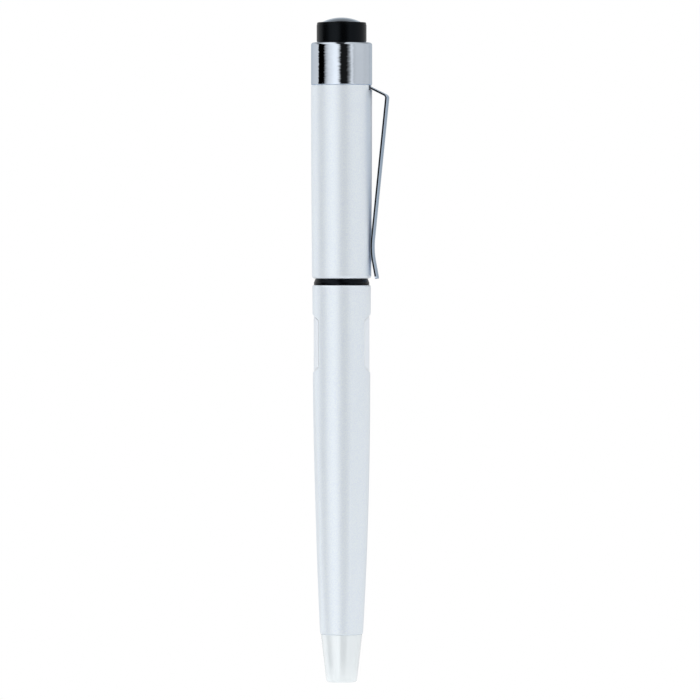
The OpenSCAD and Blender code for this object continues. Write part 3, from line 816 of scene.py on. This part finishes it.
# Soft studio light all round: broad panels with two dark flags beside the camera,
# a brighter ceiling, and plain white behind the object for the camera.
# Each pair is degrees to the right of the camera, seen from the pen, and brightness there.
PANELS = [
    (-180, 0.6), (-150, 0.62), (-128, 0.7), (-99, 0.72), (-96.5, 0.0), (-70, 0.0), (-61, 0.52),
    (-50, 0.84), (-28, 1.09), (-18, 1.11), (-11.5, 0.84), (-4.2, 0.07), (-1.5, 0.01),
    (20, 0.012), (26, 0.16), (32, 0.42), (38, 0.84), (42, 0.78), (48, 0.6), (58, 0.67),
    (86, 0.67), (96, 0.63), (120, 0.64), (137, 0.56), (150, 0.66), (156, 0.62), (165, 0.44),
    (174, 0.58), (180, 0.6),
]
LEAN = 13  # degrees by which the panels shift where they are seen a little above the horizon


def studio():
    """The world's light. Camera rays see plain white."""
    world = bpy.data.worlds.new("studio")
    scene.world = world
    world.use_nodes = True
    tree = world.node_tree
    nodes, links = tree.nodes, tree.links
    back = nodes["Background"]

    def maths(kind, a, b=None):
        n = nodes.new("ShaderNodeMath")
        n.operation = kind
        for socket, value in zip(n.inputs, (a, b)):
            if isinstance(value, bpy.types.NodeSocket):
                links.new(value, socket)
            elif value is not None:
                socket.default_value = value
        return n.outputs[0]

    def dot(vector, axis):
        n = nodes.new("ShaderNodeVectorMath")
        n.operation = "DOT_PRODUCT"
        links.new(vector, n.inputs[0])
        n.inputs[1].default_value = axis
        return n.outputs["Value"]

    ray_dir = nodes.new("ShaderNodeTexCoord").outputs["Generated"]
    turn = maths("ARCTAN2", dot(ray_dir, right), dot(ray_dir, toward))
    ramp = nodes.new("ShaderNodeValToRGB")
    stops = ramp.color_ramp.elements
    while len(stops) > 1:
        stops.remove(stops[-1])
    for i, (angle, level) in enumerate(PANELS):
        stop = stops[0] if i == 0 else stops.new((angle + 180) / 360)
        stop.position = (angle + 180) / 360
        stop.color = (level, level, level, 1)

    def step(value, low, high):
        n = nodes.new("ShaderNodeMapRange")
        n.interpolation_type = "SMOOTHSTEP"
        links.new(value, n.inputs["Value"])
        n.inputs["From Min"].default_value = low
        n.inputs["From Max"].default_value = high
        return n.outputs[0]

    def blend(factor, a, b):
        n = nodes.new("ShaderNodeMix")
        n.data_type = "RGBA"
        links.new(factor, n.inputs["Factor"])
        for key, value in (("A", a), ("B", b)):
            if isinstance(value, bpy.types.NodeSocket):
                links.new(value, n.inputs[key])
            else:
                n.inputs[key].default_value = (value, value, value, 1)
        return n.outputs["Result"]

    up = dot(ray_dir, (0, 0, 1))
    down = dot(ray_dir, (0, 0, -1))
    kind = nodes.new("ShaderNodeLightPath").outputs

    # The panels round the horizon.
    lean = maths("MULTIPLY", step(up, 0.06, 0.2), LEAN / 360)
    at = maths("ADD", maths("ADD", maths("DIVIDE", turn, 2 * math.pi), 0.5), lean)
    links.new(at, ramp.inputs[0])

    # The ceiling: bright towards the camera's side and its left, dim behind the pen and dark
    # far out to the sides. Sharp reflections see it dimmer than soft light does.
    dimmed = maths("SUBTRACT", 1.0, maths("MULTIPLY", kind["Is Glossy Ray"], 0.62))
    front = maths("ADD", maths("MULTIPLY", dot(ray_dir, right), -0.8), 2.25)
    front = maths("MULTIPLY", front, dimmed)
    ceiling = blend(step(dot(ray_dir, toward), -0.45, 0.0), 0.25, front)
    across = maths("ABSOLUTE", maths("ADD", dot(ray_dir, right), 0.04))
    beyond = step(dot(ray_dir, -toward), 0.64, 0.74)
    ceiling = blend(maths("MAXIMUM", step(across, 0.14, 0.26), beyond), 0.04, ceiling)
    light = blend(step(up, 0.3, 0.62), ramp.outputs[0], ceiling)

    # White from below, strongest straight down, for faces that are turned to the floor.
    underfoot = maths("MULTIPLY", kind["Is Glossy Ray"], step(down, 0.84, 0.96))
    below = maths("ADD", maths("MULTIPLY", underfoot, 1.6), 1.0)
    light = blend(step(down, 0.4, 0.75), light, below)
    seen = blend(kind["Is Camera Ray"], light, 1.0)
    links.new(seen, back.inputs["Color"])


studio()
scene.view_settings.view_transform = "Standard"
scene.view_settings.look = "None"

camera = bpy.data.objects.new("camera", bpy.data.cameras.new("camera"))
scene.collection.objects.link(camera)
SENSOR = 36  # mm
DISTANCE, EYE_Z = 1.3, 0.092  # metres from the pen's axis, and above the floor
FIELD = 0.1458  # metres across the frame at the pen
SHIFT = 0.00175  # metres by which the frame's middle lies right of the axis
camera.data.sensor_width = SENSOR
camera.data.lens = SENSOR * DISTANCE / FIELD
camera.data.clip_start = 0.01
aim = right * SHIFT + Vector((0, 0, (cad_box[0][2] + cad_box[1][2]) / 2))
camera.location = right * SHIFT + toward * DISTANCE + Vector((0, 0, EYE_Z))
camera.rotation_euler = (aim - camera.location).to_track_quat("-Z", "Y").to_euler()
scene.camera = camera
